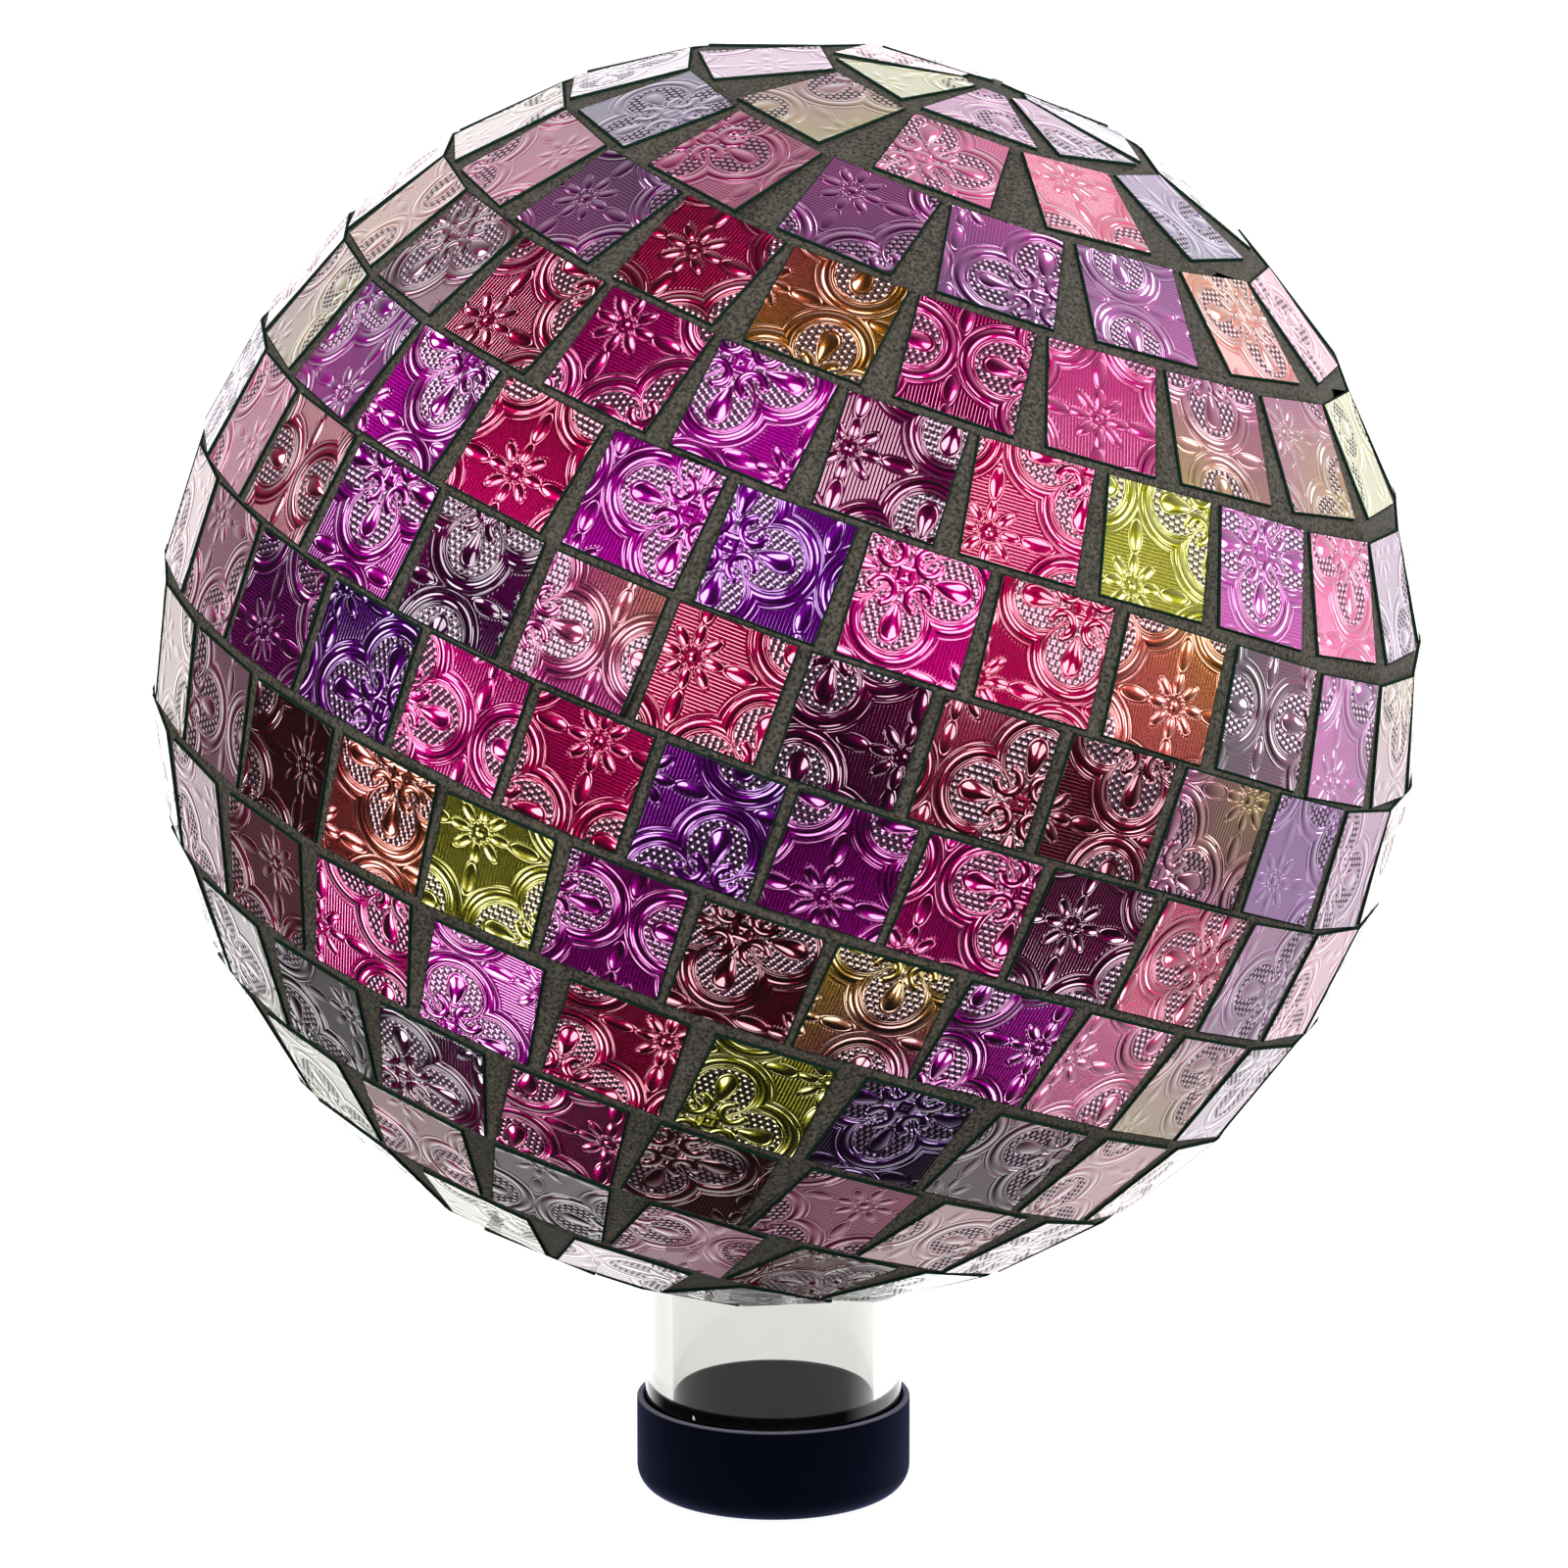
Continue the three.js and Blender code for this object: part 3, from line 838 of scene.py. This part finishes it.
    def build(self) -> None:
        """Builds the grout and every sheet's tiles in place of the frame's plain skin."""
        copy = self.merged_copy()
        faces = self.raised_faces(copy.data)
        tiles = self.lay_tiles(copy.data, faces)
        LOG.info("%d tiles found on the frame", len(tiles))
        blank = self.blank()
        ornament = self.ornament.group()
        for foil in range(len(FOILS)):
            piece = self.sheet(foil, tiles, blank, ornament)
            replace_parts(piece, "mosaic_skin")
        bpy.data.objects.remove(blank)
        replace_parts(self.grout(copy, faces), "mosaic_skin")


@dataclass
class BlownGlobe:
    """The clear glass inside: a thin ball whose neck stands a little off the ball's middle.

    Sizes are in mm. The points are counted along the neck, round each small curve and up the ball.
    """

    radius: float = 122.6
    wall: float = 2.2
    neck_radius: float = 26.3
    neck_wall: float = 5.6
    neck_end: float = 2.8
    fillet: float = 3.0
    inner_fillet: float = 5.0
    steps: int = 128
    neck_points: int = 14
    curve_points: int = 9
    arc_points: int = 48

    def meridian(self, azimuth: float) -> list[tuple[float, float]]:
        """Works out the wall's section on one side of the neck's axis.

        The neck stands off the ball's axis, so the section differs from one side to the next and
        can't be spun.

        Args:
            azimuth: The direction from the neck's axis, in radians.

        Returns:
            Distance from the neck's axis and height, in mm, round the lip, up the outside to the
            ball's top and back down the inside.
        """
        shift = -NECK_X / MM * math.cos(azimuth)
        aside = -NECK_X / MM * math.sin(azimuth)
        centre = GLOBE_CENTRE.z / MM
        lip = self.neck_wall / 2
        bore = self.neck_radius - self.neck_wall
        section = []
        for radius, wall_at, fillet, outside in (
            (self.radius, self.neck_radius, self.fillet, True),
            (self.radius - self.wall, bore, self.inner_fillet, False),
        ):
            circle = math.sqrt(radius**2 - aside**2)
            middle = wall_at + fillet
            height = centre - math.sqrt((circle + fillet) ** 2 - (middle - shift) ** 2)
            touch = math.atan2(centre - height, shift - middle)
            lane = [(wall_at, z) for z in np.linspace(self.neck_end + lip, height, self.neck_points)[:-1]]
            lane += [
                (middle + fillet * math.cos(a), height + fillet * math.sin(a))
                for a in np.linspace(math.pi, touch, self.curve_points)
            ]
            start = math.atan2(lane[-1][1] - centre, lane[-1][0] - shift)
            for k, a in enumerate(np.linspace(start, math.pi / 2, self.arc_points)):
                if k:
                    blend = k / (self.arc_points - 1)
                    lane.append((shift * (1 - blend) + circle * math.cos(a), centre + circle * math.sin(a)))
            lane[-1] = (0.0, centre + radius)
            section.append(lane if outside else lane[::-1])
        rounding = [
            (bore + lip + lip * math.cos(a), self.neck_end + lip + lip * math.sin(a))
            for a in np.linspace(math.pi, 2 * math.pi, self.curve_points)[1:-1]
        ]
        return rounding + section[0] + section[1]

    def material(self) -> bpy.types.Material:
        """Makes soda-lime glass, blown and flame polished, so that it is smooth and clear.

        It has a faint grey-green body.

        Returns:
            The glass.
        """
        glass = new_material("blown_soda_lime_glass")
        shader = add_node(
            glass.node_tree, "ShaderNodeBsdfPrincipled",
            {"Base Color": linear("e9ebe7"), "Roughness": 0.0, "IOR": 1.5, "Transmission Weight": 1.0},
        )
        add_node(glass.node_tree, "ShaderNodeOutputMaterial", {"Surface": shader.outputs[0]})
        return glass

    def build(self) -> bpy.types.Object:
        """Builds the globe in place of the frame's faceted one.

        Returns:
            The glass globe.
        """
        shell = bmesh.new()
        rings = []
        for step in range(self.steps):
            azimuth = 2 * math.pi * step / self.steps
            rings.append([
                shell.verts.new((
                    NECK_X + radius * MM * math.cos(azimuth), radius * MM * math.sin(azimuth), height * MM,
                ))
                for radius, height in self.meridian(azimuth)
            ])
        count = len(rings[0])
        for step in range(self.steps):
            here, there = rings[step], rings[(step + 1) % self.steps]
            for k in range(count):
                shell.faces.new((here[k], there[k], there[(k + 1) % count], here[(k + 1) % count]))
        bmesh.ops.remove_doubles(shell, verts=shell.verts, dist=0.0005 * MM)
        bmesh.ops.recalc_face_normals(shell, faces=shell.faces)
        mesh = bpy.data.meshes.new("globe")
        shell.to_mesh(mesh)
        shell.free()
        mesh.shade_smooth()
        piece = bpy.data.objects.new("globe", mesh)
        bpy.context.scene.collection.objects.link(piece)
        settle(piece, "blown_globe", self.material())
        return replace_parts(piece, "glass_globe")


@dataclass
class NeckCap:
    """The rubber cup pushed over the neck's end: a rounded foot, a thin wall and a softened rim.

    Sizes are in mm. The rim highlight band is where a painted highlight lies along the rim's top:
    how far below the rim it begins, and where it is full.
    """

    radius: float = 28.05
    height: float = 19.8
    wall: float = 1.4
    floor: float = 2.5
    foot_round: float = 5.2
    rim_round: float = 0.5
    rim_highlight_band: tuple[float, float] = (0.35, 0.05)
    crease: float = 40.0
    steps: int = 128

    def profile(self) -> list[tuple[float, float]]:
        """Works out the wall's section, from the middle of the foot up, over the rim and back in.

        Returns:
            Distance from the axis and height, in mm.
        """
        inner = self.radius - self.wall
        foot = self.radius - self.foot_round
        rim = self.radius - self.rim_round
        points = [(0.0, 0.0)]
        points += [
            (foot + self.foot_round * math.sin(a), self.foot_round * (1 - math.cos(a)))
            for a in np.linspace(0, math.pi / 2, 12)
        ]
        points += [
            (rim + self.rim_round * math.cos(a), self.height - self.rim_round + self.rim_round * math.sin(a))
            for a in np.linspace(0, math.pi / 2, 5)
        ]
        # the rim's inner chamfer, down the bore, and the softened corner at its floor
        points += [(inner + 0.25, self.height), (inner, self.height - 0.3), (inner, self.floor + 1.0)]
        points += [(inner - 0.3, self.floor + 0.3), (inner - 1.0, self.floor), (0.0, self.floor)]
        return points

    def material(self) -> bpy.types.Material:
        """Moulded rubber, off the tool with a soft satin skin.

        It is blue-black with a fine even grain and a faint bluish bloom at a glancing view. Its top
        edge is painted pale grey, a painted highlight.

        Returns:
            The rubber.
        """
        # the mould's own grain would be too fine to show, so it is drawn 0.5 mm wide
        grain_width = 0.5 * MM
        cloud_width = 9 * MM
        rubber = new_material("moulded_rubber")
        tree = rubber.node_tree
        place = add_node(tree, "ShaderNodeTexCoord").outputs["Object"]
        grain, cloud = (
            add_node(
                tree, "ShaderNodeTexNoise", {"Vector": place, "Scale": 1 / width, "Detail": 2.0},
            ).outputs["Fac"]
            for width in (grain_width, cloud_width)
        )
        roughness = add_node(
            tree, "ShaderNodeMapRange", {"Value": cloud, "To Min": 0.40, "To Max": 0.50},
        ).outputs[0]
        bump = add_node(
            tree, "ShaderNodeBump", {"Strength": 0.1, "Distance": 0.1 * MM, "Height": grain},
        ).outputs["Normal"]
        # painted highlight: the top edge of the rim is painted pale grey in place of a lamp's reflection
        painted_rim_highlight = add_node(
            tree, "ShaderNodeMapRange",
            {
                "Value": add_node(tree, "ShaderNodeSeparateXYZ", {0: place}).outputs[2],
                "From Min": (self.height - self.rim_highlight_band[0]) * MM,
                "From Max": (self.height - self.rim_highlight_band[1]) * MM,
            },
        ).outputs[0]
        # the blue-black rubber, and the pale grey of the painted highlight along the rim
        colour = add_node(
            tree, "ShaderNodeMix",
            {"Factor": painted_rim_highlight, 6: linear("020308"), 7: linear("4e4c52")}, data_type="RGBA",
        ).outputs[2]
        shader = add_node(
            tree, "ShaderNodeBsdfPrincipled",
            {
                "Base Color": colour, "Roughness": roughness, "Specular IOR Level": 0.0, "Normal": bump,
                "Sheen Weight": 0.12, "Sheen Roughness": 0.4, "Sheen Tint": (0.45, 0.5, 1.0, 1.0),
            },
        )
        add_node(tree, "ShaderNodeOutputMaterial", {"Surface": shader.outputs[0]})
        return rubber

    def build(self) -> bpy.types.Object:
        """Turns the cap in place of the frame's faceted one.

        Returns:
            The cap.
        """
        points = self.profile()
        mesh = bpy.data.meshes.new("cap")
        mesh.from_pydata(
            [(NECK_X + radius * MM, 0, height * MM) for radius, height in points],
            [(k, k + 1) for k in range(len(points) - 1)], [],
        )
        piece = bpy.data.objects.new("cap", mesh)
        bpy.context.scene.collection.objects.link(piece)
        begin(piece)
        bpy.ops.object.mode_set(mode="EDIT")
        bpy.ops.mesh.select_all(action="SELECT")
        bpy.ops.mesh.spin(steps=self.steps, angle=2 * math.pi, center=(NECK_X, 0, 0), axis=(0, 0, 1))
        bpy.ops.mesh.select_all(action="SELECT")
        bpy.ops.mesh.remove_doubles(threshold=0.002 * MM)
        bpy.ops.mesh.normals_make_consistent(inside=False)
        bpy.ops.object.mode_set(mode="OBJECT")
        bpy.ops.object.shade_smooth_by_angle(angle=math.radians(self.crease))
        settle(piece, "rubber_cap", self.material())
        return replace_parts(piece, "neck_cap")


@dataclass(frozen=True)
class Panel:
    """One round soft box that faces the globe.

    It hangs at an azimuth, counted from the camera's side to the right, and an elevation, both in
    degrees. Its width is in metres.
    """

    name: str
    azimuth: float
    elevation: float
    width: float
    glow: Glow


@dataclass
class Studio:
    """A white table in a tent of soft boxes, and a camera at the photograph's angle.

    Distances are in metres and angles in degrees. The pixels are those of the photograph's frame,
    and the sensor is in mm. The soft boxes hang between the directions that flat tiles mirror, so
    they show as highlights in the relief and not as whole white tiles.
    """

    distance: float = 2.0
    elevation: float = 12.85
    focal_pixels: float = 10097.0
    frame_pixels: float = 1600.0
    centre_pixels: tuple[float, float] = (803.2, 687.5)
    sensor: float = 36.0
    panel_distance: float = 1.6
    bright_side: tuple[float, float, float] = (0.42, 0.90, -0.02)
    bright_from: float = 0.65
    room_dark: float = 0.05
    room_bright: float = 2.1
    floor_width: float = 12.0
    floor_drop: float = 0.0005
    panels: tuple[Panel, ...] = (
        Panel("key_left", -20, 26, 0.5, Glow.KEY),
        Panel("key_top", 4, 46, 0.5, Glow.KEY),
        Panel("key_right", 34, 34, 0.5, Glow.KEY),
        Panel("key_near", 28, 8, 0.5, Glow.KEY),
        Panel("near_left", -22, 0, 0.5, Glow.KEY),
        Panel("left_high", -48, 30, 0.5, Glow.FILL),
        Panel("crown", -30, 72, 0.5, Glow.EDGE),
        Panel("left", -50, 12, 0.40, Glow.FILL),
        Panel("right", 60, 18, 0.5, Glow.FILL),
        Panel("right_high", 64, 44, 0.45, Glow.FILL),
        Panel("right_near", 48, -2, 0.45, Glow.FILL),
        Panel("foot_right", 14, -34, 0.45, Glow.FILL),
        Panel("foot_left", -20, -52, 0.45, Glow.FILL),
        Panel("left_low", -50, -38, 0.45, Glow.FILL),
        Panel("foot_far_right", 38, -42, 0.40, Glow.FILL),
        Panel("edge_left", -74, 30, 0.45, Glow.EDGE),
        Panel("edge_right", 82, 8, 0.45, Glow.EDGE),
        Panel("edge_low_left", -76, -30, 0.45, Glow.EDGE),
        Panel("back_left", -112, 42, 0.40, Glow.EDGE),
        Panel("back_right", 130, 52, 0.40, Glow.EDGE),
        Panel("side_right", 106, -2, 0.40, Glow.EDGE),
        Panel("side_left", -102, 24, 0.40, Glow.EDGE),
        Panel("waist_left", -70, -4, 0.40, Glow.EDGE),
        Panel("shoulder_right", 120, 28, 0.40, Glow.EDGE),
        Panel("low_right", 72, -44, 0.45, Glow.EDGE),
        Panel("low_far_left", -84, -50, 0.40, Glow.EDGE),
    )

    def camera(self) -> None:
        """Sets the camera where the photograph was taken from."""
        lift = math.radians(self.elevation)
        half = self.frame_pixels / 2
        pitch = lift + math.atan((half - self.centre_pixels[1]) / self.focal_pixels)
        yaw = math.atan((self.centre_pixels[0] - half) / self.focal_pixels)
        lens = bpy.data.cameras.new("camera")
        lens.sensor_width = self.sensor
        lens.lens = self.focal_pixels * self.sensor / self.frame_pixels
        lens.clip_start = 0.05
        lens.clip_end = 50
        camera = bpy.data.objects.new("camera", lens)
        camera.location = GLOBE_CENTRE + self.distance * Vector((0, -math.cos(lift), math.sin(lift)))
        camera.rotation_euler = (math.pi / 2 - pitch, 0, yaw)
        bpy.context.scene.collection.objects.link(camera)
        bpy.context.scene.camera = camera

    def hang(self, panel: Panel) -> None:
        """Hangs a soft box that faces the globe.

        Args:
            panel: The soft box.
        """
        turn, lift = math.radians(panel.azimuth), math.radians(panel.elevation)
        across = math.cos(lift)
        direction = Vector((math.sin(turn) * across, -math.cos(turn) * across, math.sin(lift)))
        lamp = bpy.data.lights.new(panel.name, "AREA")
        lamp.shape = "DISK"
        lamp.size = panel.width
        lamp.energy = math.pi * panel.glow.value * panel.width**2
        light = bpy.data.objects.new(panel.name, lamp)
        light.location = GLOBE_CENTRE + self.panel_distance * direction
        light.rotation_euler = (-direction).to_track_quat("-Z", "Y").to_euler()
        light.visible_camera = False
        light.visible_transmission = False
        bpy.context.scene.collection.objects.link(light)

    def world(self) -> None:
        """Surrounds the globe with a room that is dim in front and has a bright wall behind.

        The wall gives the tiles near the globe's outline their pale veil. The camera itself sees
        plain white past the table's edge.
        """
        world = bpy.data.worlds.new("studio")
        bpy.context.scene.world = world
        world.use_nodes = True
        tree = world.node_tree
        tree.nodes.clear()
        direction = add_node(tree, "ShaderNodeTexCoord").outputs["Generated"]
        behind = add_node(
            tree, "ShaderNodeVectorMath", {0: direction, 1: self.bright_side}, operation="DOT_PRODUCT",
        ).outputs["Value"]
        room = add_node(
            tree, "ShaderNodeMapRange",
            {
                "Value": behind, "From Min": 0.0, "From Max": self.bright_from,
                "To Min": self.room_dark, "To Max": self.room_bright,
            },
            interpolation_type="SMOOTHSTEP",
        ).outputs[0]
        seen = add_node(tree, "ShaderNodeLightPath").outputs["Is Camera Ray"]
        strength = add_node(tree, "ShaderNodeMix", {0: seen, 2: room, 3: 1.0}).outputs[0]
        background = add_node(tree, "ShaderNodeBackground", {"Color": (1, 1, 1, 1), "Strength": strength})
        add_node(tree, "ShaderNodeOutputWorld", {"Surface": background.outputs[0]})

    def floor(self) -> None:
        """Lays matt paper that glows evenly enough to come out white with hardly a shadow.

        The tiles don't mirror it, as if soft boxes stood below a table's edge.
        """
        begin()
        bpy.ops.mesh.primitive_plane_add(size=self.floor_width, location=(0, 0, -self.floor_drop))
        floor = bpy.context.object
        floor.name = "floor"
        floor.visible_glossy = False
        paper = new_material("white_sweep_paper")
        tree = paper.node_tree
        shader = add_node(
            tree, "ShaderNodeBsdfPrincipled",
            {
                "Base Color": linear("50504f"), "Roughness": 0.9,
                "Emission Color": (1, 1, 1, 1), "Emission Strength": 0.93,
            },
        )
        add_node(tree, "ShaderNodeOutputMaterial", {"Surface": shader.outputs[0]})
        floor.data.materials.append(paper)

    def build(self) -> None:
        """Sets the camera, the lights and the floor."""
        self.camera()
        self.world()
        self.floor()
        for panel in self.panels:
            self.hang(panel)
        bpy.context.scene.view_settings.view_transform = "Standard"


def main() -> None:
    """Builds the globe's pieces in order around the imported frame."""
    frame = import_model()
    Studio().build()
    BlownGlobe().build()
    NeckCap().build()
    MosaicSkin(frame["nodes"]["mosaic_skin"]).build()


if __name__ == "__main__":
    logging.basicConfig(level=logging.INFO)
    main()
